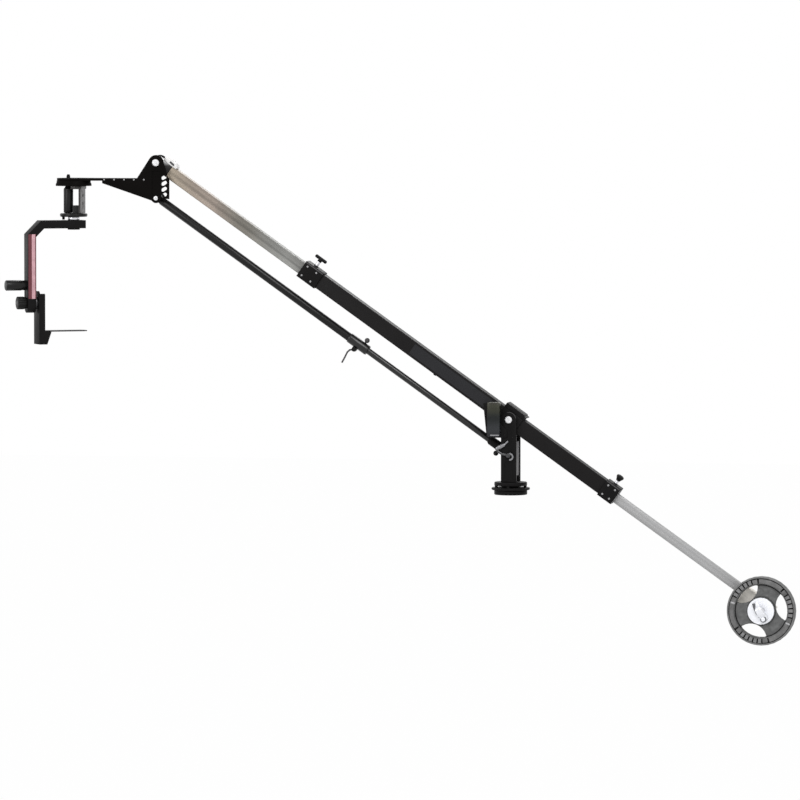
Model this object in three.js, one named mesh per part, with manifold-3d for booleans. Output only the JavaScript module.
// Camera jib crane: a telescoping boom on a turning column, a levelling rod under the boom,
// a levelled front bracket with a motorised pan and tilt head, and a counterweight plate.
// Millimetres, +Z up, origin at the centre of the seat that bolts down on a tripod.
// The boom's front points to -X and the counterweight to +X. The near side is -Y.

import * as THREE from "three";
import { mergeVertices } from "three/addons/utils/BufferGeometryUtils.js";
import Module from "manifold-3d";

const wasm = await Module();
wasm.setup();

// Shared clearances
const fitGap = 0.3;
const boreGap = 0.4;
const overrun = 1;

// Linkage: the four pivots of the levelling parallelogram
const pivotHeight = 241.5;
const linkSpacing = 114;
const pivotSpan = 1415;
const boomAngle = THREE.MathUtils.degToRad(35.23);
const headPanAngle = THREE.MathUtils.degToRad(30);

// Base and turntable
const seatRadius = 53;
const seatHeight = 15;
const seatHoleRadius = 4.25;
const seatHoleCircle = 40;
const flangeRadius = 61.5;
const flangeThickness = 8;
const hubRadius = 30.5;
const hubHeight = 5.5;
const levelPostRadius = 5;
const levelPostCircle = 47;
const turntableRadius = 52.5;
const turntableThickness = 12;
const spindleRadius = 12;
const spindlePocketDepth = 12;
const spindleNutFlats = 32;
const spindleNutHeight = 10;
const spindleThreadShow = 1.5;
const bearingOuterRadius = 26;
const bearingThickness = 3;

// Column
const columnWidth = 50;
const columnGap = 64;
const columnPlate = 8;
const webThickness = 7;
const webSetBack = 3;
const webBottom = 62;
const webTop = 170;
const pocketDepth = 1.5;
const pocketWidth = 26;

// Pivot bolts
const mainBoltRadius = 6;
const mainBoltHeadRadius = 11.6;
const mainBoltHeadHeight = 7;
const boltSlotWidth = 2.4;
const boltSlotDepth = 2.6;
const rodBoltRadius = 5;
const rodBoltHeadRadius = 7.4;
const rodBoltHeadHeight = 5;
const boltThreadShow = 1.2;

// Boom tubes
const outerSize = 50;
const outerWall = 4;
const frontSize = 40;
const frontWall = 2.5;
const rearSize = 30;
const rearWall = 2.5;
const tubeCornerRadius = 3;
const outerFrontReach = 830;
const outerRearReach = 421;
const travelPlugReach = 283;
const travelPlugRadius = 5;
const travelPlugHeight = 5;
const frontInsert = 200;
const rearInsert = 160;
const knuckleReach = 50;

// Saddle on the main pivot
const saddleLength = 74;
const saddleFloor = 3.5;
const saddleCapHeight = 15;

// Tube clamps
const clampWall = 4;
const clampLip = 4;
const frontClampLength = 70;
const rearClampLength = 53;
const clampBossRadius = 8;
const clampBossHeight = 2.5;
const clampStudRadius = 4;
const frontStudSetBack = 31;
const barKnobLift = 26.5;
const knobBarLength = 43.5;
const knobBarRadius = 5.5;
const knobHubRadius = 6.9;
const gripKnobLift = 13.5;
const gripKnobHeight = 19;
const gripKnobRadius = 10.5;
const gripKnobFoot = 6;

// Front knuckle and strap
const knuckleRadius = 20;
const knuckleBossRadius = 16;
const knucklePlugLength = 60;
const strapStart = 13;
const strapEnd = 64;
const strapRise = 19;
const strapSlope = 22;
const strapCorner = 7;
const strapSlotLength = 20;
const strapSlotWidth = 14;

// Levelling rod
const rodFrontRadius = 13.5;
const rodRearRadius = 10.5;
const rodWall = 1.5;
const rodEyeRadius = 14;
const eyeHalf = 12;
const eyeBossRadius = 10;
const rodSocketRadius = 15;
const rodSocketStart = 30;
const rodSocketEnd = 85;
const socketLip = 1;
const rodCollarStart = 570;
const rodCollarLength = 74;
const rodCollarRadius = 16.5;
const rodOverlap = 200;
const rodPlugLength = 40;
const ballKnobRadius = 8.5;

// Front bracket
const bracketGap = 51;
const bracketPlate = 6;
const bracketLobeRadius = 25;
const bracketLowerLobeRadius = 16;
const bracketTopDrop = 50.5;
const bracketShoulder = 63;
const bracketNose = 178;
const bracketNoseHeight = 16;
const bracketWaist = 5;
const bracketTail = 43.5;
const slotLength = 21;
const slotWidth = 11.5;
const slotPitch = 19;
const slotMiddle = 26.7;
const slotTopRise = 3.5;
const slotCount = 4;
const slotAngle = THREE.MathUtils.degToRad(30);
const recessDepth = 1.5;
const recessWidth = 27;
const recessMargin = 2;
const blockDrop = 45.6;
const blockHeight = 38.8;
const platformThickness = 8;
const platformRadius = 54;
const headReach = 280;

// Pan unit
const headDiscRadius = 58;
const headDiscThickness = 17;
const cageFootThickness = 10;
const cageFootReach = 3;
const cagePlateThickness = 6;
const cagePlateOffset = 24.5;
const cageWidth = 70;
const cageHeight = 78;
const cageHoleRadius = 5.5;
const panMotorRadius = 15.5;
const panMotorOffset = 17.5;
const gearboxRadius = 44;
const gearboxThickness = 11.5;
const panHubRadius = 19;
const shaftRadius = 8;
const panHubHeight = 10.5;

// L arm
const armReach = 160;
const armThickness = 27;
const armWidth = 48;
const armTail = 34;
const armBarHeight = 26;
const armBend = 44;
const armDrop = 298;
const shaftShow = 3;

// Tilt unit and camera cradle
const tiltDrop = 266;
const tiltMotorDrop = 209;
const tiltMotorRadius = 17;
const tiltMotorLength = 69;
const tiltKnobRadius = 21;
const tiltKnobLength = 31;
const tiltShaftRadius = 8;
const tiltFlangeRadius = 20;
const cradleGap = 7.5;
const cradleThickness = 20;
const cradleWidth = 64;
const cradleWall = 4;
const cradleTopDrop = 228;
const cradleBottomDrop = 400;
const shelfDrop = 356;
const shelfThickness = 3;
const shelfTip = 40;
const shelfSlotLength = 64;
const shelfSlotWidth = 7;
const gussetReach = 21;

// Counterweight
const weightReach = 1012;
const weightDrop = 17;
const weightRadius = 110;
const weightThickness = 25;
const weightRimInner = 86;
const weightHubRadius = 43.5;
const weightWeb = 11;
const weightBore = 14.5;
const gripCount = 3;
const gripInner = 46.5;
const gripOuter = 83;
const gripBackRadius = 51;
const gripHalfAngle = THREE.MathUtils.degToRad(26.5);
const gripNoseAngle = THREE.MathUtils.degToRad(31.3);
const gripBackAngle = THREE.MathUtils.degToRad(52);
const gripFirstAngle = THREE.MathUtils.degToRad(10);
const weightOffset = 36;
const barRadius = 12.5;
const barBreak = 1;
const collarDiscRadius = 42.5;
const collarDiscThickness = 6;
const collarHubRadius = 17;
const collarHubHeight = 12;
const collarBarLength = 74;
const collarBarAngle = THREE.MathUtils.degToRad(52.7);
const rearBlockLength = 92;
const rearBlockHeight = 60;
const rearBlockWidth = 44;

// Side box on the column
const boxWidth = 40;
const boxHeight = 110;
const boxDepth = 22;
const boxRight = 25;
const boxBottom = 188;
const boxCorner = 4;
const holderThickness = 3;
const holderOverhang = 17;
const holderLap = 20;

// Clamp levers and small screws
const leverThickness = 6;
const leverHub = 9;
const leverReach = 33;
const leverRise = 14;
const leverTipRise = 45;
const leverTipReach = 3;
const leverArm = 7;
const screwRadius = 3;
const earHalf = 8;
const earDepth = 5;
const earSetBack = 35;
const collarKnobSetBack = 53;
const collarLeverLength = 41;
const collarLeverWidth = 3.5;

// Facet counts
const roundSteps = 24;
const smallSteps = 12;
const boltSteps = 16;
const wideSteps = 32;

// Materials
function finish(color, roughness, metalness) {
  return new THREE.MeshStandardMaterial({ color, roughness, metalness });
}
const blackTube = finish(0x242324, 0.45, 0.2);
const blackPlate = finish(0x1b1b1c, 0.5, 0.3);
const frontSilver = finish(0x9c9488, 0.35, 0.9);
const rearSilver = finish(0x9a9a99, 0.35, 0.9);
const brightSteel = finish(0xc4c4c6, 0.25, 1);
const blackKnob = finish(0x151515, 0.55, 0);
const motorBlack = finish(0x202020, 0.4, 0.4);
const cageAlloy = finish(0x8d8a88, 0.4, 0.8);
const boxGrey = finish(0x55565a, 0.3, 0.2);
const plateIron = finish(0x3b3b3b, 0.7, 0.3);

// A closed solid whose faces point out, from any closed geometry.
function solidOf(geometry) {
  const bare = geometry.index ? geometry.clone() : geometry;
  const positions = new THREE.BufferGeometry();
  positions.setAttribute("position", bare.getAttribute("position"));
  if (bare.index) positions.setIndex(bare.index);
  const merged = mergeVertices(positions, 1e-4);
  const triVerts = new Uint32Array(merged.index.array);
  const vertProperties = merged.attributes.position.array;
  const made = new wasm.Manifold(new wasm.Mesh({ numProp: 3, vertProperties, triVerts }));
  if (made.volume() > 0) return made;
  for (let i = 0; i < triVerts.length; i += 3) {
    const first = triVerts[i];
    triVerts[i] = triVerts[i + 1];
    triVerts[i + 1] = first;
  }
  return new wasm.Manifold(new wasm.Mesh({ numProp: 3, vertProperties, triVerts }));
}

function geometryOf(solid) {
  const made = solid.getMesh();
  const positions = new Float32Array(made.numVert * 3);
  for (let i = 0; i < made.numVert; i++) {
    const start = i * made.numProp;
    positions.set(made.vertProperties.subarray(start, start + 3), i * 3);
  }
  const geometry = new THREE.BufferGeometry();
  geometry.setAttribute("position", new THREE.BufferAttribute(positions, 3));
  geometry.setIndex(new THREE.BufferAttribute(made.triVerts, 1));
  return geometry;
}

const closed = (geometry) => geometryOf(solidOf(geometry));

function cut(geometry, ...tools) {
  const result = tools.reduce((solid, tool) => solid.subtract(solidOf(tool)), solidOf(geometry));
  return geometryOf(result);
}

function join(geometry, ...others) {
  const result = others.reduce((solid, other) => solid.add(solidOf(other)), solidOf(geometry));
  return geometryOf(result);
}

// Points along an arc about (x, y), angles counter-clockwise in radians.
function arc(x, y, radius, from, to, steps) {
  const points = [];
  for (let i = 0; i <= steps; i++) {
    const angle = from + ((to - from) * i) / steps;
    points.push([x + radius * Math.cos(angle), y + radius * Math.sin(angle)]);
  }
  return points;
}

const outline = (points) => new THREE.Shape(points.map(([x, y]) => new THREE.Vector2(x, y)));
function circle(x, y, radius, steps = roundSteps) {
  return arc(x, y, radius, 0, 2 * Math.PI * (1 - 1 / steps), steps - 1);
}
const rectangle = (left, right, low, high) => [[left, low], [right, low], [right, high], [left, high]];

// A rectangle about (0, middle) with rounded corners.
function rounded(width, height, radius, middle = 0) {
  const x = width / 2 - radius;
  const y = height / 2 - radius;
  const quarter = Math.PI / 2;
  const corners = [[x, y], [-x, y], [-x, -y], [x, -y]];
  return corners.flatMap(([cx, cy], i) => arc(cx, cy + middle, radius, i * quarter, (i + 1) * quarter, 3));
}

// Turns a hull of outline points about the two ends of a slot.
function slotOutline(x, y, length, width, angle) {
  const half = (length - width) / 2;
  const alongX = half * Math.cos(angle);
  const alongY = half * Math.sin(angle);
  const quarter = Math.PI / 2;
  return [
    ...arc(x + alongX, y + alongY, width / 2, angle - quarter, angle + quarter, 5),
    ...arc(x - alongX, y - alongY, width / 2, angle + quarter, angle + 3 * quarter, 5),
  ];
}

// Extrusions of an outline between two planes, named by the plane that the outline lies in.
function extrude(points, holes, depth) {
  const shape = outline(points);
  holes.forEach((hole) => shape.holes.push(new THREE.Path(hole.map(([x, y]) => new THREE.Vector2(x, y)))));
  return new THREE.ExtrudeGeometry(shape, { depth, bevelEnabled: false, steps: 1 });
}

function plateXZ(points, yLow, yHigh, holes = []) {
  return closed(extrude(points, holes, yHigh - yLow).rotateX(Math.PI / 2).translate(0, yHigh, 0));
}

function plateXY(points, zLow, zHigh, holes = []) {
  return closed(extrude(points, holes, zHigh - zLow).translate(0, 0, zLow));
}

const sideways = new THREE.Matrix4().makeBasis(
  new THREE.Vector3(0, 1, 0),
  new THREE.Vector3(0, 0, 1),
  new THREE.Vector3(1, 0, 0),
);

function barYZ(points, xLow, xHigh, holes = []) {
  return closed(extrude(points, holes, xHigh - xLow).applyMatrix4(sideways).translate(xLow, 0, 0));
}

// Turned pieces: a profile of [radius, height] turned about Z, and the same laid along X or Y.
function turnedZ(profile, steps = roundSteps) {
  const points = profile.map(([r, z]) => new THREE.Vector2(r, z));
  return closed(new THREE.LatheGeometry(points, steps).rotateX(Math.PI / 2));
}

const turnedY = (profile, steps) => turnedZ(profile, steps).rotateX(-Math.PI / 2);
const turnedX = (profile, steps) => turnedZ(profile, steps).rotateY(Math.PI / 2);
const rod = (radius, low, high) => [[0, low], [radius, low], [radius, high], [0, high]];
function sleeve(inner, outer, low, high) {
  return [[inner, low], [outer, low], [outer, high], [inner, high], [inner, low]];
}

const crane = new THREE.Group();

function place(group, name, geometry, material) {
  const mesh = new THREE.Mesh(geometry, material);
  mesh.name = name;
  group.add(mesh);
  return mesh;
}

// Base: the seat ring that stays on the tripod, with the spindle that the column turns on
const flangeBottom = seatHeight + fitGap;
const flangeTop = flangeBottom + flangeThickness;
const turntableBottom = flangeTop + hubHeight + fitGap;
const turntableTop = turntableBottom + turntableThickness;
const nutSeat = turntableTop + fitGap;
const spindleBore = spindleRadius + boreGap;
const edgeBreak = flangeThickness / 4;

const seatProfile = [
  [0, 0],
  [seatRadius - edgeBreak, 0],
  [seatRadius, edgeBreak],
  [seatRadius, seatHeight - edgeBreak],
  [seatRadius - edgeBreak, seatHeight],
  [spindleBore, seatHeight],
  [spindleBore, seatHeight - spindlePocketDepth],
  [0, seatHeight - spindlePocketDepth],
];
const seatHoles = [0, 1, 2, 3].map((i) => {
  const angle = ((i + 1 / 2) * Math.PI) / 2;
  const hole = turnedZ(rod(seatHoleRadius, -overrun, seatHeight + overrun), smallSteps);
  return hole.translate(seatHoleCircle * Math.cos(angle), seatHoleCircle * Math.sin(angle), 0);
});
place(crane, "mount_ring", cut(turnedZ(seatProfile, wideSteps), ...seatHoles), blackPlate);

const spindleBottom = seatHeight - spindlePocketDepth + fitGap;
const spindleTop = nutSeat + spindleNutHeight + spindleThreadShow;
place(crane, "pan_spindle", turnedZ(rod(spindleRadius, spindleBottom, spindleTop)), brightSteel);

const bearingBottom = seatHeight + fitGap;
const bearingTop = bearingBottom + bearingThickness;
const bearingInner = spindleBore + fitGap;
place(
  crane,
  "thrust_bearing",
  turnedZ(sleeve(bearingInner, bearingOuterRadius, bearingBottom, bearingTop)),
  brightSteel,
);

const nutRadius = spindleNutFlats / 2 / Math.cos(Math.PI / 6);
const nutBore = circle(0, 0, spindleBore);
place(
  crane,
  "spindle_nut",
  plateXY(circle(0, 0, nutRadius, 6), nutSeat, nutSeat + spindleNutHeight, [nutBore]),
  brightSteel,
);

// Turntable: flange with hub and levelling posts, plate above them
const bearingRecess = bearingOuterRadius + boreGap;
const flangeProfile = [
  [spindleBore, bearingTop + fitGap],
  [bearingRecess, bearingTop + fitGap],
  [bearingRecess, flangeBottom],
  [flangeRadius - edgeBreak, flangeBottom],
  [flangeRadius, flangeBottom + edgeBreak],
  [flangeRadius, flangeTop - edgeBreak],
  [flangeRadius - edgeBreak, flangeTop],
  [hubRadius, flangeTop],
  [hubRadius, flangeTop + hubHeight],
  [spindleBore, flangeTop + hubHeight],
  [spindleBore, bearingTop + fitGap],
];
const levelPosts = [0, 1, 2, 3].map((i) => {
  const angle = (i * Math.PI) / 2;
  const post = turnedZ(rod(levelPostRadius, flangeTop - edgeBreak, flangeTop + hubHeight), smallSteps);
  return post.translate(levelPostCircle * Math.cos(angle), levelPostCircle * Math.sin(angle), 0);
});
place(crane, "turntable_flange", join(turnedZ(flangeProfile, wideSteps), ...levelPosts), blackPlate);

const turntableProfile = [
  [spindleBore, turntableBottom],
  [turntableRadius, turntableBottom],
  [turntableRadius, turntableTop - edgeBreak],
  [turntableRadius - edgeBreak, turntableTop],
  [spindleBore, turntableTop],
  [spindleBore, turntableBottom],
];
place(crane, "turntable_plate", turnedZ(turntableProfile, wideSteps), blackPlate);

// Column: two side plates with round tops, tied by a web behind the rod
const rodPivotHeight = pivotHeight - linkSpacing;
const columnBottom = turntableTop + fitGap;
const columnHalf = columnWidth / 2;
const columnInner = columnGap / 2;
const columnOuter = columnInner + columnPlate;
const columnOutline = [
  [-columnHalf, columnBottom],
  [columnHalf, columnBottom],
  ...arc(0, pivotHeight, columnHalf, 0, Math.PI, 14),
];
const columnHoles = [
  circle(0, pivotHeight, mainBoltRadius + boreGap, smallSteps),
  circle(0, rodPivotHeight, rodBoltRadius + boreGap, smallSteps),
];
const pocketLow = columnBottom + columnPlate;
const pocketHigh = rodPivotHeight - pocketWidth / 2 - rodBoltHeadRadius;
const pocketMiddle = (pocketLow + pocketHigh) / 2;
const pocketOutline = rounded(pocketWidth, pocketHigh - pocketLow, columnPlate / 2, pocketMiddle);
function columnSide(side) {
  const low = side < 0 ? -columnOuter : columnInner;
  const pocketFrom = side < 0 ? -columnOuter - overrun : columnOuter - pocketDepth;
  const pocketTo = side < 0 ? -columnOuter + pocketDepth : columnOuter + overrun;
  const plate = plateXZ(columnOutline, low, low + columnPlate, columnHoles);
  return cut(plate, plateXZ(pocketOutline, pocketFrom, pocketTo));
}
place(crane, "column_plate_near", columnSide(-1), blackPlate);
place(crane, "column_plate_far", columnSide(1), blackPlate);

const webRight = columnHalf - webSetBack;
const webHalf = columnInner - fitGap;
const webOutline = rectangle(webRight - webThickness, webRight, webBottom, webTop);
place(crane, "column_web", plateXZ(webOutline, -webHalf, webHalf), cageAlloy);

// A slotted round-head bolt along Y, from its head seat to its far end
function slottedBolt(radius, headRadius, headHeight, seat, end) {
  const away = seat < end ? -1 : 1;
  const crown = headHeight / 3;
  const profile = [
    [0, end],
    [radius, end],
    [radius, seat],
    [headRadius, seat],
    [headRadius, seat + away * (headHeight - crown)],
    [headRadius - crown, seat + away * headHeight],
    [0, seat + away * headHeight],
  ];
  const slotLow = seat + away * (headHeight - boltSlotDepth);
  const slotHigh = seat + away * (headHeight + overrun);
  const slot = plateXZ(
    rectangle(-headRadius - overrun, headRadius + overrun, -boltSlotWidth / 2, boltSlotWidth / 2),
    Math.min(slotLow, slotHigh),
    Math.max(slotLow, slotHigh),
  );
  return cut(turnedY(profile, boltSteps), slot.rotateY(Math.PI / 4));
}

const saddleInner = outerSize / 2 + fitGap;
const boltSeat = columnOuter + fitGap;
function mainBolt(side) {
  const geometry = slottedBolt(
    mainBoltRadius,
    mainBoltHeadRadius,
    mainBoltHeadHeight,
    side * boltSeat,
    side * (saddleInner + fitGap),
  );
  return geometry.translate(0, 0, pivotHeight);
}
place(crane, "pivot_bolt_near", mainBolt(-1), brightSteel);
place(crane, "pivot_bolt_far", mainBolt(1), brightSteel);

// The rod pivot bolt runs right through and carries the clamp lever outside the near plate
const leverSeat = -columnOuter - fitGap;
const leverFront = leverSeat - leverThickness;
const rodBoltHead = leverFront - fitGap;
const rodBoltEnd = columnOuter + fitGap + rodBoltHeadHeight + boltThreadShow;
place(
  crane,
  "rod_pivot_bolt",
  slottedBolt(rodBoltRadius, rodBoltHeadRadius, rodBoltHeadHeight, rodBoltHead, rodBoltEnd).translate(
    0,
    0,
    rodPivotHeight,
  ),
  brightSteel,
);
const rodNutBore = circle(0, 0, rodBoltRadius + fitGap, smallSteps);
const rodNut = plateXZ(
  circle(0, 0, rodBoltHeadRadius, 6),
  columnOuter + fitGap,
  columnOuter + fitGap + rodBoltHeadHeight,
  [rodNutBore],
);
place(crane, "rod_pivot_nut", rodNut.translate(0, 0, rodPivotHeight), brightSteel);

// Clamp lever on the rod pivot: a bent flat arm that folds back up over the near plate
const leverOutline = [
  [-leverReach, leverRise - leverArm],
  [-leverHub / 2, -leverHub / 2],
  [0, leverHub / 2],
  [-leverReach + leverArm, leverRise],
  [leverTipReach, leverTipRise - leverArm],
  [leverTipReach, leverTipRise],
  [-leverReach - leverArm / 2, leverRise + leverArm / 2],
];
const leverBody = join(
  plateXZ(leverOutline, leverFront, leverSeat),
  turnedY(rod(leverHub, leverFront, leverSeat)),
);
const leverBore = turnedY(rod(rodBoltRadius + boreGap, leverFront - overrun, leverSeat + overrun));
place(crane, "rod_lock_lever", cut(leverBody, leverBore).translate(0, 0, rodPivotHeight), brightSteel);

// Side box: a holder plate screwed on the near plate, with a small closed box on it
const holderBack = -columnOuter - fitGap;
const holderFront = holderBack - holderThickness;
const boxLeft = -boxRight - boxWidth;
const boxTop = boxBottom + boxHeight;
const holderOutline = [
  [boxLeft - holderOverhang / 3, boxBottom - boxCorner],
  [-boxRight + holderLap, boxBottom - boxCorner],
  [-boxRight + holderLap, boxBottom + holderLap],
  [-boxRight, boxBottom + 2 * holderLap],
  [-boxRight, boxTop - holderLap],
  [boxLeft, boxTop - boxCorner],
  [boxLeft - holderOverhang, boxTop - boxCorner],
];
place(crane, "holder_plate", plateXZ(holderOutline, holderFront, holderBack), blackPlate);
const boxBack = holderFront - fitGap;
const boxOutline = rounded(boxWidth, boxHeight, boxCorner, boxBottom + boxHeight / 2);
const boxBody = plateXZ(boxOutline, boxBack - boxDepth, boxBack).translate((boxLeft - boxRight) / 2, 0, 0);
place(crane, "side_box", boxBody, boxGrey);

// Boom: everything in this group lies along the boom, with the main pivot at its origin
const boom = new THREE.Group();
boom.position.set(0, 0, pivotHeight);
boom.rotation.y = boomAngle;
crane.add(boom);

const saddleOuter = columnInner - fitGap;
const saddleBottom = -saddleInner - saddleFloor;
const saddleHalf = saddleLength / 2;
const saddleOutline = [
  [-saddleOuter, saddleBottom],
  [saddleOuter, saddleBottom],
  [saddleOuter, saddleInner],
  [saddleInner, saddleInner],
  [saddleInner, -saddleInner],
  [-saddleInner, -saddleInner],
  [-saddleInner, saddleInner],
  [-saddleOuter, saddleInner],
];
const saddleBore = turnedY(rod(mainBoltRadius + boreGap, -columnOuter, columnOuter));
place(boom, "saddle", cut(barYZ(saddleOutline, -saddleHalf, saddleHalf), saddleBore), blackPlate);
const capLow = saddleInner + fitGap;
const capHigh = capLow + saddleCapHeight;
const capSlope = saddleCapHeight / 3;
const capOutline = [
  [-saddleHalf, capLow],
  [saddleHalf, capLow],
  [saddleHalf, capHigh - capSlope],
  [saddleHalf - capSlope, capHigh],
  [-saddleHalf, capHigh],
];
place(boom, "saddle_cap", plateXZ(capOutline, -saddleOuter, saddleOuter), blackPlate);

// Box tubes along the boom, each resting on the floor of the one that holds it
const outerBore = outerSize - 2 * outerWall;
const frontOffset = frontSize / 2 + fitGap - outerBore / 2;
const rearOffset = rearSize / 2 + fitGap - outerBore / 2;
const lipDepth = clampLip + fitGap;
function boxTube(size, wall, offset, from, to) {
  const corner = tubeCornerRadius;
  const bore = rounded(size - 2 * wall, size - 2 * wall, corner / 2, offset);
  return barYZ(rounded(size, size, corner, offset), from, to, [bore]);
}

const frontStudAt = -outerFrontReach + frontStudSetBack;
const rearStudAt = outerRearReach - rearClampLength / 2;
const studHole = (x) =>
  turnedZ(rod(clampStudRadius + boreGap, 0, outerSize), smallSteps).translate(x, 0, 0);
const travelPlug = turnedZ(
  rod(travelPlugRadius, -outerSize / 2 - travelPlugHeight, -outerSize / 2 + outerWall / 4),
  smallSteps,
);
const outerTube = join(
  boxTube(outerSize, outerWall, 0, -outerFrontReach + lipDepth, outerRearReach - lipDepth),
  travelPlug.translate(-travelPlugReach, 0, 0),
);
place(boom, "outer_tube", cut(outerTube, studHole(frontStudAt), studHole(rearStudAt)), blackTube);

// A clamp block: a sleeve over the outer tube's end with a lip round the inner tube
const clampInner = outerSize + 2 * fitGap;
const clampOuter = clampInner + 2 * clampWall;
const clampTop = clampOuter / 2;
function clampBlock([from, to], [lipFrom, lipTo], studAt, innerSize, innerOffset) {
  const lipHole = rounded(innerSize + 2 * boreGap, innerSize + 2 * boreGap, tubeCornerRadius, innerOffset);
  const sleeveHole = rounded(clampInner, clampInner, tubeCornerRadius);
  const shell = cut(
    barYZ(rounded(clampOuter, clampOuter, tubeCornerRadius), from, to),
    barYZ(lipHole, from - overrun, to + overrun),
    barYZ(sleeveHole, lipFrom, lipTo),
  );
  const boss = turnedZ(rod(clampBossRadius, clampTop - clampWall / 2, clampTop + clampBossHeight));
  return cut(join(shell, boss.translate(studAt, 0, 0)), studHole(studAt));
}
const frontSpan = [-outerFrontReach, -outerFrontReach + frontClampLength];
const frontSleeve = [frontSpan[0] + clampLip, frontSpan[1] + overrun];
const frontClamp = clampBlock(frontSpan, frontSleeve, frontStudAt, frontSize, frontOffset);
place(boom, "front_clamp", frontClamp, blackPlate);
const rearSpan = [outerRearReach - rearClampLength, outerRearReach];
const rearSleeve = [rearSpan[0] - overrun, rearSpan[1] - clampLip];
const rearClamp = clampBlock(rearSpan, rearSleeve, rearStudAt, rearSize, rearOffset);
place(boom, "rear_clamp", rearClamp, blackPlate);

// Clamp screws press on the inner tubes through the boss: a T bar in front, a tapered grip behind
const bossTop = clampTop + clampBossHeight;
const studCollar = clampStudRadius + clampWall / 2;
function clampStud(pressOn, top) {
  const profile = [
    [0, pressOn + fitGap],
    [clampStudRadius, pressOn + fitGap],
    [clampStudRadius, bossTop + fitGap],
    [studCollar, bossTop + fitGap],
    [studCollar, bossTop + clampStudRadius],
    [clampStudRadius, bossTop + clampStudRadius],
    [clampStudRadius, top],
    [0, top],
  ];
  return turnedZ(profile, smallSteps);
}
const barLift = bossTop + barKnobLift;
const barHalf = knobBarLength / 2;
const barEnd = knobBarRadius / 2;
const barProfile = [
  [0, -barHalf],
  [barEnd, -barHalf],
  [knobBarRadius, -barHalf + barEnd],
  [knobBarRadius, barHalf - barEnd],
  [barEnd, barHalf],
  [0, barHalf],
];
const barHub = turnedZ(rod(knobHubRadius, barLift - 2 * knobBarRadius, barLift + barEnd), smallSteps);
const tBar = join(
  turnedX(barProfile, smallSteps).translate(0, 0, barLift),
  barHub,
  clampStud(frontOffset + frontSize / 2, barLift),
);
place(boom, "front_clamp_knob", tBar.translate(frontStudAt, 0, 0), blackKnob);

const gripLow = bossTop + gripKnobLift;
const gripHigh = gripLow + gripKnobHeight;
const gripBreak = gripKnobRadius / 5;
const gripKnobProfile = [
  [0, gripLow],
  [gripKnobFoot, gripLow],
  [gripKnobRadius, gripLow + gripKnobHeight / 2],
  [gripKnobRadius, gripHigh - gripBreak * 2],
  [gripKnobRadius - gripBreak, gripHigh - gripBreak / 2],
  [gripKnobRadius / 2, gripHigh],
  [0, gripHigh],
];
const gripKnob = join(
  turnedZ(gripKnobProfile, boltSteps),
  clampStud(rearOffset + rearSize / 2, gripLow + gripBreak),
);
place(boom, "rear_clamp_knob", gripKnob.translate(rearStudAt, 0, 0), blackKnob);

// Front tube with the knuckle that hangs the bracket
const frontTubeStart = -pivotSpan + knuckleReach;
const frontTubeEnd = -outerFrontReach + frontInsert;
const frontTube = boxTube(frontSize, frontWall, frontOffset, frontTubeStart, frontTubeEnd);
place(boom, "front_tube", frontTube, frontSilver);

const bracketInner = bracketGap / 2;
const knuckleHalf = frontSize / 2;
const plugHalf = frontSize / 2 - frontWall - fitGap;
function knuckleBar(half, from, to) {
  return barYZ(rounded(2 * half, 2 * half, tubeCornerRadius, frontOffset), from, to);
}
const knuckleBody = join(
  turnedY(rod(knuckleRadius, -knuckleHalf, knuckleHalf)),
  turnedY(rod(knuckleBossRadius, -bracketInner + fitGap, bracketInner - fitGap)),
  knuckleBar(knuckleHalf, 0, knuckleReach - fitGap),
  knuckleBar(plugHalf, 0, knuckleReach + knucklePlugLength),
);
const knuckleBore = turnedY(rod(mainBoltRadius + boreGap, -bracketGap, bracketGap));
place(boom, "front_knuckle", cut(knuckleBody, knuckleBore).translate(-pivotSpan, 0, 0), blackPlate);

const strapSeat = frontOffset + frontSize / 2 + fitGap;
const strapTop = strapSeat + strapRise;
const strapOutline = [
  [strapEnd, strapSeat],
  [strapEnd, strapTop - strapRise / 2 - strapCorner / 2],
  [strapEnd - strapCorner, strapTop - strapCorner],
  [strapEnd - strapSlope, strapTop],
  [strapStart + strapCorner, strapTop],
  [strapStart, strapTop - strapCorner],
  [strapStart, strapSeat],
];
const strapSlot = plateXY(
  slotOutline(strapEnd - strapSlope - strapCorner / 2, 0, strapSlotLength, strapSlotWidth, 0),
  strapSeat - overrun,
  strapTop + overrun,
);
const strapBody = cut(plateXZ(strapOutline, -knuckleHalf, knuckleHalf), strapSlot);
place(boom, "knuckle_strap", strapBody.translate(-pivotSpan, 0, 0), brightSteel);

// Rear tube with the block that carries the counterweight bar
const blockStart = weightReach - (rearBlockLength * 2) / 3;
const blockEnd = blockStart + rearBlockLength;
const tubeSocketEnd = weightReach - barRadius - 2 * boreGap - clampWall * 2;
const rearTubeEnd = tubeSocketEnd - fitGap;
const blockMiddle = rearOffset + rearSize / 2 + clampWall + 2 * fitGap - rearBlockHeight / 2;
place(
  boom,
  "rear_tube",
  boxTube(rearSize, rearWall, rearOffset, outerRearReach - rearInsert, rearTubeEnd),
  rearSilver,
);
const blockHalf = rearBlockWidth / 2;
const socketSize = rearSize + 2 * fitGap;
const rearBlock = cut(
  barYZ(rounded(rearBlockWidth, rearBlockHeight, tubeCornerRadius, blockMiddle), blockStart, blockEnd),
  barYZ(rounded(socketSize, socketSize, tubeCornerRadius, rearOffset), blockStart - overrun, tubeSocketEnd),
  turnedY(rod(barRadius + boreGap, -rearBlockWidth, rearBlockWidth)).translate(weightReach, 0, -weightDrop),
);
place(boom, "rear_block", rearBlock, blackPlate);

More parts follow.
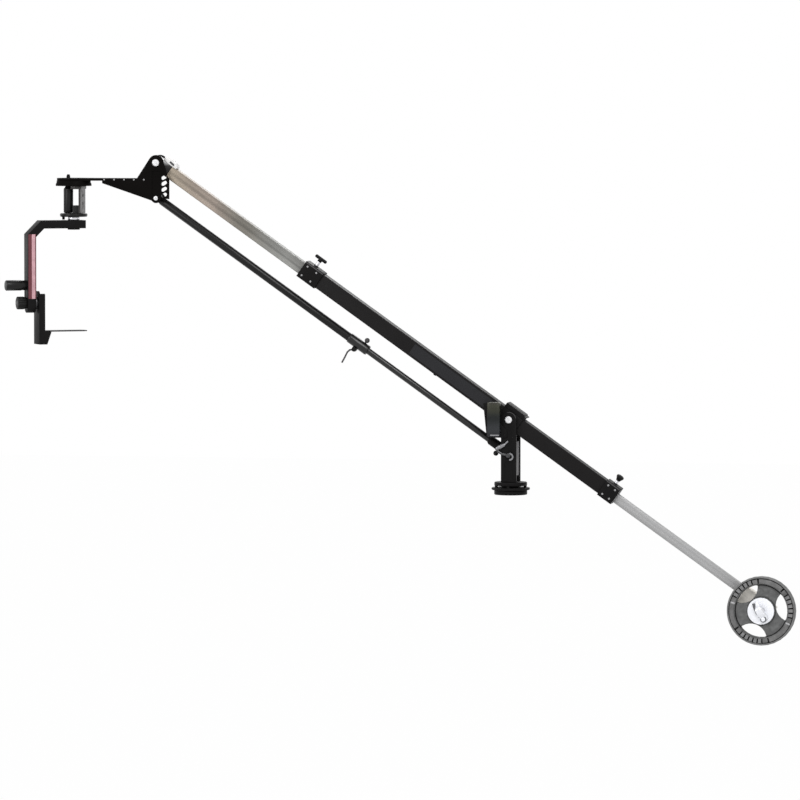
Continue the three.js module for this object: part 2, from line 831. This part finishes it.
const stopRadius = weightBore + clampWall;
const farHeadRadius = barRadius + clampWall;
const plateBack = -weightOffset;
const plateFront = plateBack - weightThickness;
const discFront = plateFront - fitGap - collarDiscThickness;
const collarFront = discFront - fitGap - collarHubHeight;
const barProfileY = [
  [0, collarFront - clampWall],
  [barRadius - barBreak, collarFront - clampWall],
  [barRadius, collarFront - clampWall + barBreak],
  [barRadius, plateBack + fitGap],
  [stopRadius, plateBack + fitGap],
  [stopRadius, -blockHalf - fitGap],
  [barRadius, -blockHalf - fitGap],
  [barRadius, blockHalf + fitGap],
  [farHeadRadius, blockHalf + fitGap],
  [farHeadRadius, blockHalf + fitGap + collarDiscThickness],
  [0, blockHalf + fitGap + collarDiscThickness],
];
place(boom, "weight_bar", turnedY(barProfileY).translate(weightReach, 0, -weightDrop), brightSteel);

// Counterweight plate: hub, thin web with three grip holes, ribbed rim
const webBack = plateBack - (weightThickness - weightWeb) / 2;
const webFront = webBack - weightWeb;
const rimBreak = weightWeb / 4;
const plateProfile = [
  [weightBore, plateFront],
  [weightHubRadius, plateFront],
  [weightHubRadius + rimBreak, webFront],
  [weightRimInner - rimBreak, webFront],
  [weightRimInner, plateFront],
  [weightRadius - rimBreak, plateFront],
  [weightRadius, plateFront + rimBreak],
  [weightRadius, plateBack - rimBreak],
  [weightRadius - rimBreak, plateBack],
  [weightRimInner, plateBack],
  [weightRimInner - rimBreak, webBack],
  [weightHubRadius + rimBreak, webBack],
  [weightHubRadius, plateBack],
  [weightBore, plateBack],
  [weightBore, plateFront],
];
const gripNose = gripOuter - rimBreak / 2;
const gripBackCentre = gripInner + gripBackRadius;
const gripHoles = Array.from({ length: gripCount }, (_, i) => {
  const middle = gripFirstAngle + (i * 2 * Math.PI) / gripCount;
  const behind = middle + Math.PI;
  const backX = gripBackCentre * Math.cos(middle);
  const backY = gripBackCentre * Math.sin(middle);
  const nose = (angle) => [gripNose * Math.cos(angle), gripNose * Math.sin(angle)];
  const hole = [
    ...arc(0, 0, gripOuter, middle - gripHalfAngle, middle + gripHalfAngle, 8),
    nose(middle + gripNoseAngle),
    ...arc(backX, backY, gripBackRadius, behind - gripBackAngle, behind + gripBackAngle, 8),
    nose(middle - gripNoseAngle),
  ];
  return plateXZ(hole, plateFront - overrun, plateBack + overrun);
});
const weight = new THREE.Group();
weight.position.set(weightReach, 0, -weightDrop);
weight.rotation.y = -boomAngle;
boom.add(weight);
place(weight, "weight_plate", cut(turnedY(plateProfile, wideSteps), ...gripHoles), plateIron);

const discProfile = sleeve(barRadius + boreGap, collarDiscRadius, discFront, plateFront - fitGap);
place(weight, "collar_disc", turnedY(discProfile), brightSteel);
const wingBar = plateXZ(
  slotOutline(0, 0, collarBarLength, collarHubHeight, -collarBarAngle),
  collarFront,
  discFront - fitGap - collarDiscThickness / 2,
);
const collarHub = turnedY(rod(collarHubRadius, collarFront, discFront - fitGap));
const wingBore = turnedY(rod(barRadius + boreGap, collarFront - overrun, discFront + overrun));
place(weight, "collar_wing", cut(join(wingBar, collarHub), wingBore), brightSteel);

// Levelling rod: in this group it lies along the boom, with its column pivot at the origin
const levelRod = new THREE.Group();
levelRod.position.set(0, 0, rodPivotHeight);
levelRod.rotation.y = boomAngle;
crane.add(levelRod);

function rodEye(bossHalf, stemRadius, stemFrom, stemTo) {
  const body = join(
    turnedY(rod(rodEyeRadius, -eyeHalf, eyeHalf)),
    turnedY(rod(eyeBossRadius, -bossHalf, bossHalf)),
    turnedX(rod(stemRadius, stemFrom, stemTo)),
  );
  return cut(body, turnedY(rod(rodBoltRadius + boreGap, -columnGap, columnGap)));
}
const stemInThin = rodRearRadius - rodWall - fitGap;
const stemInThick = rodFrontRadius - rodWall - fitGap;
const rearStemEnd = -rodSocketEnd;
place(levelRod, "rod_eye_rear", rodEye(columnInner - fitGap, stemInThin, rearStemEnd, 0), blackPlate);

const thinStart = -(rodCollarStart + rodOverlap);
const thinTube = sleeve(rodRearRadius - rodWall, rodRearRadius, thinStart, -rodSocketStart);
const socketBore = rodRearRadius + fitGap;
const socketKnobAt = -(rodSocketStart + eyeHalf);
function screwHole(x, low, high) {
  return turnedZ(rod(screwRadius + boreGap, low, high), smallSteps).translate(x, 0, 0);
}
place(levelRod, "rod_tube_rear", turnedX(thinTube), blackTube);
const socketTaper = rodSocketRadius - socketBore - socketLip;
const socketProfile = [
  [socketBore, -rodSocketEnd],
  [rodSocketRadius - socketTaper, -rodSocketEnd],
  [rodSocketRadius, -rodSocketEnd + socketTaper * 2],
  [rodSocketRadius, -rodSocketStart],
  [socketBore, -rodSocketStart],
  [socketBore, -rodSocketEnd],
];
const socketBody = cut(turnedX(socketProfile), screwHole(socketKnobAt, -rodSocketRadius * 2, 0));
place(levelRod, "rod_socket", socketBody, blackPlate);

// Ball-ended thumb screws that point up (side 1) or down (side -1) from the rod
function ballKnob(x, side, pressRadius, bodyRadius) {
  const centre = bodyRadius + ballKnobRadius + 2 * fitGap;
  const steps = 7;
  const neck = Math.asin(screwRadius / ballKnobRadius);
  const ball = arc(0, centre, ballKnobRadius, -Math.PI / 2 + neck, Math.PI / 2, steps);
  ball[steps] = [0, centre + ballKnobRadius];
  const profile = [[0, pressRadius + fitGap], [screwRadius, pressRadius + fitGap], ...ball];
  const geometry = turnedZ(profile, smallSteps);
  if (side < 0) geometry.rotateX(Math.PI);
  return geometry.translate(x, 0, 0);
}
place(levelRod, "rod_socket_knob", ballKnob(socketKnobAt, -1, rodRearRadius, rodSocketRadius), blackKnob);

const thickStart = -pivotSpan + rodEyeRadius + socketLip;
const collarLipEnd = -(rodCollarStart + clampWall);
const thickTube = sleeve(rodFrontRadius - rodWall, rodFrontRadius, thickStart, collarLipEnd - fitGap);
place(levelRod, "rod_tube_front", turnedX(thickTube), blackTube);
const frontEye = rodEye(bracketInner - fitGap, stemInThick, 0, rodPlugLength + rodEyeRadius);
place(levelRod, "rod_eye_front", frontEye.translate(-pivotSpan, 0, 0), blackPlate);

// Rod collar: grips the thin tube at its lip, with ears below for the clamp lever
const rodCollarEnd = -(rodCollarStart + rodCollarLength);
const collarBoreRadius = rodFrontRadius + fitGap;
const collarProfile = [
  [collarBoreRadius, rodCollarEnd],
  [rodCollarRadius - socketLip, rodCollarEnd],
  [rodCollarRadius, rodCollarEnd + clampWall],
  [rodCollarRadius, -rodCollarStart - clampWall],
  [rodCollarRadius - socketLip, -rodCollarStart],
  [socketBore, -rodCollarStart],
  [socketBore, collarLipEnd],
  [collarBoreRadius, collarLipEnd],
  [collarBoreRadius, rodCollarEnd],
];
const earDrop = rodCollarRadius + earDepth;
const earAt = rodCollarEnd + earSetBack;
const earRoot = -rodCollarRadius + clampWall / 2;
const collarKnobAt = rodCollarEnd + collarKnobSetBack;
const ear = plateXZ(
  [
    [earAt - earHalf, earRoot],
    ...arc(earAt, -earDrop, earHalf, Math.PI, 2 * Math.PI, 8),
    [earAt + earHalf, earRoot],
  ],
  -earHalf,
  earHalf,
);
const earBore = turnedY(rod(screwRadius + boreGap, -rodCollarRadius, rodCollarRadius), smallSteps);
const collarBody = cut(
  join(turnedX(collarProfile), ear),
  screwHole(collarKnobAt, 0, rodCollarRadius * 2),
  earBore.translate(earAt, 0, -earDrop),
);
place(levelRod, "rod_collar", collarBody, blackPlate);
place(levelRod, "rod_collar_knob", ballKnob(collarKnobAt, 1, rodFrontRadius, rodCollarRadius), blackKnob);

const leverRoot = -earHalf - fitGap;
const leverOut = leverRoot - leverThickness;
const collarLeverOutline = [
  ...arc(0, 0, earHalf - collarLeverWidth / 5, 0, Math.PI, 8),
  ...arc(-collarLeverWidth, -collarLeverLength, collarLeverWidth, Math.PI, 2 * Math.PI, 8),
];
const leverScrewEnd = earHalf + screwRadius;
const collarLever = join(
  plateXZ(collarLeverOutline, leverOut, leverRoot),
  turnedY(rod(screwRadius, leverRoot - leverThickness / 2, leverScrewEnd), smallSteps),
);
place(levelRod, "rod_collar_lever", collarLever.translate(earAt, 0, -earDrop), blackKnob);

// Front bracket: kept level by the rod, in a group at the front pivot
const frontPivot = new THREE.Vector3(
  -pivotSpan * Math.cos(boomAngle),
  0,
  pivotHeight + pivotSpan * Math.sin(boomAngle),
);
const bracket = new THREE.Group();
bracket.position.copy(frontPivot);
crane.add(bracket);

const bracketOuter = bracketInner + bracketPlate;
const lobe = bracketLobeRadius;
const lowerLobe = bracketLowerLobeRadius;
const foreslope = THREE.MathUtils.degToRad(143);
const undercut = THREE.MathUtils.degToRad(210);
const waistAngle = THREE.MathUtils.degToRad(75);
const bracketFront = [
  [-bracketShoulder, -bracketTopDrop],
  [-bracketNose, -bracketTopDrop],
  [-bracketNose, -bracketTopDrop - bracketNoseHeight],
];
const nearOutline = [
  ...arc(0, 0, lobe, 0, foreslope, 10),
  ...bracketFront,
  ...arc(0, -linkSpacing, lowerLobe, undercut, 2 * Math.PI, 9),
  [bracketTail, -linkSpacing - lowerLobe / 5],
  [bracketTail, -bracketTopDrop],
  [bracketTail - slotWidth / 2, -bracketTopDrop + slotWidth / 2],
];
const farOutline = [
  ...arc(0, 0, lobe, -waistAngle, foreslope, 14),
  ...bracketFront,
  ...arc(0, -linkSpacing, lowerLobe, undercut, 2 * Math.PI + waistAngle, 12),
  [bracketWaist, -linkSpacing + lowerLobe + recessMargin],
  [bracketWaist, -lobe - recessMargin],
];
const bracketSlots = Array.from({ length: slotCount }, (_, i) => {
  const height = -bracketTopDrop + slotTopRise - i * slotPitch;
  return slotOutline(slotMiddle, height, slotLength, slotWidth, slotAngle);
});
const bracketHoles = [
  circle(0, 0, mainBoltRadius + boreGap, smallSteps),
  circle(0, -linkSpacing, rodBoltRadius + boreGap, smallSteps),
];
const recessLow = -linkSpacing + lowerLobe / 2 + recessMargin;
const recessHigh = -lobe - recessMargin;
const recessMiddle = (recessHigh + recessLow) / 2;
const recessOutline = rounded(recessWidth, recessHigh - recessLow, recessMargin, recessMiddle);
const nearPlate = plateXZ(nearOutline, -bracketOuter, -bracketInner, [...bracketHoles, ...bracketSlots]);
const nearRecess = plateXZ(recessOutline, -bracketOuter - overrun, -bracketOuter + recessDepth);
place(bracket, "bracket_plate_near", cut(nearPlate, nearRecess), blackPlate);
const farPlate = plateXZ(farOutline, bracketInner, bracketOuter, bracketHoles);
place(bracket, "bracket_plate_far", farPlate, blackPlate);
const blockOutline = rectangle(-recessWidth / 2, bracketWaist, -blockDrop - blockHeight, -blockDrop);
const bracketBlock = plateXZ(blockOutline, -bracketInner + fitGap, bracketInner - fitGap);
place(bracket, "bracket_block", bracketBlock, blackPlate);

const bracketSeat = bracketOuter + fitGap;
const pivotEnd = bracketSeat + mainBoltHeadHeight;
const pivotHead = [mainBoltHeadRadius, mainBoltHeadHeight];
const pivotBolt = slottedBolt(mainBoltRadius, ...pivotHead, -bracketSeat, pivotEnd);
place(bracket, "front_pivot_bolt", pivotBolt, brightSteel);
const pivotNut = plateXZ(
  circle(0, 0, mainBoltHeadRadius, 6),
  bracketSeat,
  bracketSeat + mainBoltHeadHeight - boltThreadShow,
  [circle(0, 0, mainBoltRadius + fitGap, smallSteps)],
);
place(bracket, "front_pivot_nut", pivotNut, brightSteel);
const rodFrontEnd = bracketSeat + boltThreadShow;
const rodFrontHead = [rodBoltHeadRadius, rodBoltHeadHeight];
const rodFrontBolt = slottedBolt(rodBoltRadius, ...rodFrontHead, -bracketSeat, rodFrontEnd);
place(bracket, "rod_front_bolt", rodFrontBolt.translate(0, 0, -linkSpacing), brightSteel);

// Platform: round at the front over the head, narrow between the bracket plates
const platformTop = -bracketTopDrop;
const platformBottom = platformTop - platformThickness;
const platformNeck = bracketInner - fitGap;
const platformShoulder = bracketNose + fitGap + platformThickness / 8;
const platformBack = lobe + clampWall;
const shoulderAngle = THREE.MathUtils.degToRad(52);
const platformOutline = [
  [-platformBack, -platformNeck],
  [-platformBack, platformNeck],
  [-platformShoulder, platformNeck],
  [-platformShoulder, bracketOuter],
  ...arc(-headReach, 0, platformRadius, shoulderAngle, 2 * Math.PI - shoulderAngle, 26),
  [-platformShoulder, -bracketOuter],
  [-platformShoulder, -platformNeck],
];
place(bracket, "platform_plate", plateXY(platformOutline, platformBottom, platformTop), blackPlate);

// Pan unit under the platform: disc, motor cage, motor and gearbox, about the pan axis
const panUnit = new THREE.Group();
panUnit.position.set(-headReach, 0, 0);
bracket.add(panUnit);
const discTop = platformBottom - fitGap;
const discBottom = discTop - headDiscThickness;
const discStep = headDiscThickness / 3;
const headDiscProfile = [
  [0, discBottom],
  [headDiscRadius, discBottom],
  [headDiscRadius, discBottom + discStep],
  [headDiscRadius - discStep / 2, discBottom + 2 * discStep],
  [headDiscRadius - discStep / 2, discTop],
  [0, discTop],
];
place(panUnit, "head_disc", turnedZ(headDiscProfile, wideSteps), blackPlate);

const footTop = discBottom - fitGap;
const footBottom = footTop - cageFootThickness;
const sideBottom = footBottom - cageHeight;
const gearboxTop = sideBottom;
const cageRight = cagePlateOffset + cagePlateThickness;
const footRight = cageRight + cageFootReach;
const footLeft = -panMotorOffset + panMotorRadius + fitGap;
const cageHalf = cageWidth / 2;
const cageSide = barYZ(
  rectangle(-cageHalf, cageHalf, sideBottom, footBottom + overrun),
  cagePlateOffset,
  cageRight,
);
const cageFoot = plateXY(rectangle(footLeft, footRight, -cageHalf, cageHalf), footBottom, footTop);
const cageHoles = [1, 2].map((i) => {
  const height = footBottom - (i * cageHeight) / 3 + cageHoleRadius;
  const hole = turnedX(rod(cageHoleRadius, cagePlateOffset - overrun, cageRight + overrun), smallSteps);
  return hole.translate(0, 0, height);
});
place(panUnit, "cage_plate", cut(join(cageFoot, cageSide), ...cageHoles), cageAlloy);

const motorBottom = gearboxTop + fitGap;
const motorStep = panMotorRadius / 5;
const motorProfile = [
  [0, motorBottom],
  [panMotorRadius - motorStep, motorBottom],
  [panMotorRadius, motorBottom + motorStep],
  [panMotorRadius, footTop - motorStep * 3],
  [panMotorRadius - motorStep, footTop - motorStep * 2],
  [panMotorRadius - 2 * motorStep, footTop],
  [0, footTop],
];
place(panUnit, "pan_motor", turnedZ(motorProfile).translate(-panMotorOffset, 0, 0), motorBlack);

const gearboxBottom = gearboxTop - gearboxThickness;
const gearboxBreak = gearboxThickness / 7;
const gearboxProfile = [
  [shaftRadius + boreGap, gearboxBottom],
  [gearboxRadius - gearboxBreak, gearboxBottom],
  [gearboxRadius, gearboxBottom + gearboxBreak],
  [gearboxRadius, gearboxTop - fitGap - gearboxBreak],
  [gearboxRadius - gearboxBreak, gearboxTop - fitGap],
  [shaftRadius + boreGap, gearboxTop - fitGap],
  [shaftRadius + boreGap, gearboxBottom],
];
place(panUnit, "pan_gearbox", turnedZ(gearboxProfile, wideSteps), motorBlack);

// Yoke: hub, L arm and tilt motor turn together under the gearbox
const yoke = new THREE.Group();
yoke.rotation.z = headPanAngle;
panUnit.add(yoke);
const hubTop = gearboxBottom - fitGap;
const hubBottom = hubTop - panHubHeight;
const armTop = hubBottom - fitGap;
const armBottom = armTop - armBarHeight;
const shaftBottom = armBottom - shaftShow;
const hubProfile = [
  [0, shaftBottom],
  [shaftRadius, shaftBottom],
  [shaftRadius, hubBottom],
  [panHubRadius, hubBottom],
  [panHubRadius, hubTop],
  [shaftRadius, hubTop],
  [shaftRadius, gearboxTop - fitGap * 2],
  [0, gearboxTop - fitGap * 2],
];
place(yoke, "pan_hub", turnedZ(hubProfile), brightSteel);

const armHalf = armWidth / 2;
const armInner = -armReach + armThickness;
const armEnd = armTop - armDrop;
const armKnee = armTop - armBend - armThickness / 3;
const armOutline = [
  [armTail, armBottom],
  [armTail, armTop],
  [-armReach + armBend, armTop],
  [-armReach, armTop - armBend],
  [-armReach, armKnee - armThickness],
  [armInner, armKnee - armThickness],
  [armInner, armKnee],
  [armInner + armBottom - armKnee, armBottom],
];
const armLegOutline = [
  [armHalf, armKnee],
  [-armHalf, armKnee],
  ...arc(0, armEnd + armHalf, armHalf, Math.PI, 2 * Math.PI, 14),
];
const tiltHeight = armTop - tiltDrop;
const armBore = turnedZ(rod(shaftRadius + boreGap, armBottom - overrun, armTop + overrun), smallSteps);
const tiltBoreProfile = rod(tiltShaftRadius + boreGap, -armReach - overrun, armInner + overrun);
const tiltBore = turnedX(tiltBoreProfile, smallSteps);
const rawArm = join(plateXZ(armOutline, -armHalf, armHalf), barYZ(armLegOutline, -armReach, armInner));
place(yoke, "l_arm", cut(rawArm, armBore, tiltBore.translate(0, 0, tiltHeight)), blackPlate);

// Tilt motor: a can with a stepped gear end against the arm
const motorFace = -armReach - fitGap;
const gearEnd = tiltMotorLength / 4;
const motorBreak = tiltMotorRadius / 8;
const tiltMotorProfile = [
  [0, motorFace - tiltMotorLength],
  [tiltMotorRadius - motorBreak, motorFace - tiltMotorLength],
  [tiltMotorRadius, motorFace - tiltMotorLength + motorBreak],
  [tiltMotorRadius, motorFace - gearEnd],
  [tiltMotorRadius - motorBreak / 2, motorFace - gearEnd],
  [tiltMotorRadius - motorBreak / 2, motorFace],
  [0, motorFace],
];
const tiltMotor = turnedX(tiltMotorProfile).translate(0, 0, armTop - tiltMotorDrop);
place(yoke, "tilt_motor", tiltMotor, motorBlack);

// Camera cradle: hangs on the tilt shaft inside the arm, with the shelf that the camera sits on
const cradle = new THREE.Group();
cradle.position.set(0, 0, tiltHeight);
yoke.add(cradle);
const cradleLeft = armInner + cradleGap;
const cradleRight = cradleLeft + cradleThickness;
const knobOuter = motorFace - tiltKnobLength;
const knobFlute = tiltKnobRadius / 10;
const knobProfile = [
  [tiltShaftRadius + fitGap, knobOuter],
  [tiltKnobRadius - knobFlute, knobOuter],
  [tiltKnobRadius, knobOuter + knobFlute],
  [tiltKnobRadius, motorFace - tiltKnobLength / 3],
  [tiltKnobRadius - 2 * knobFlute, motorFace],
  [tiltShaftRadius + fitGap, motorFace],
  [tiltShaftRadius + fitGap, knobOuter],
];
place(cradle, "tilt_knob", turnedX(knobProfile), blackKnob);
const tiltShaftProfile = [
  [0, knobOuter],
  [tiltShaftRadius, knobOuter],
  [tiltShaftRadius, armInner + fitGap],
  [tiltFlangeRadius, armInner + fitGap],
  [tiltFlangeRadius, cradleLeft - fitGap],
  [0, cradleLeft - fitGap],
];
place(cradle, "tilt_shaft", turnedX(tiltShaftProfile), brightSteel);

const cradleTop = tiltDrop - cradleTopDrop;
const cradleBottom = tiltDrop - cradleBottomDrop;
const shelfTop = tiltDrop - shelfDrop;
const shelfLow = shelfTop - shelfThickness;
const cradleSide = cradleWidth / 2;
const cradleCorner = cradleWidth / 5;
const channelOutline = [
  [cradleLeft, -cradleSide],
  [cradleRight, -cradleSide],
  [cradleRight, -cradleSide + cradleWall],
  [cradleLeft + cradleWall, -cradleSide + cradleWall],
  [cradleLeft + cradleWall, cradleSide - cradleWall],
  [cradleRight, cradleSide - cradleWall],
  [cradleRight, cradleSide],
  [cradleLeft, cradleSide],
];
const gussetOutline = [
  [cradleRight - cradleWall, cradleBottom],
  [cradleRight + gussetReach / 3, cradleBottom],
  [cradleRight + gussetReach, shelfLow - fitGap],
  [cradleRight - cradleWall, shelfLow - fitGap],
];
const cornerCut = (side) =>
  barYZ(
    [
      [side * (cradleSide - cradleCorner), cradleTop + overrun],
      [side * (cradleSide + overrun), cradleTop + overrun],
      [side * (cradleSide + overrun), cradleTop - cradleCorner],
    ],
    cradleLeft - overrun,
    cradleRight + overrun,
  );
const upright = join(
  plateXY(channelOutline, cradleBottom, cradleTop),
  plateXZ(gussetOutline, -cradleSide, cradleSide),
);
place(cradle, "cradle_upright", cut(upright, cornerCut(-1), cornerCut(1)), blackPlate);

const shelfHalf = cradleSide - cradleWall - fitGap;
const shelfRoot = cradleLeft + cradleWall + fitGap;
const shelfMiddle = (cradleRight + gussetReach + shelfTip) / 2;
const screwSlot = slotOutline(shelfMiddle, 0, shelfSlotLength, shelfSlotWidth, 0);
const shelfOutline = [
  [shelfRoot, -shelfHalf],
  [shelfTip - cradleCorner, -shelfHalf],
  [shelfTip, -shelfHalf + cradleCorner],
  [shelfTip, shelfHalf - cradleCorner],
  [shelfTip - cradleCorner, shelfHalf],
  [shelfRoot, shelfHalf],
];
place(cradle, "camera_shelf", plateXY(shelfOutline, shelfLow, shelfTop, [screwSlot]), blackPlate);

export default crane;
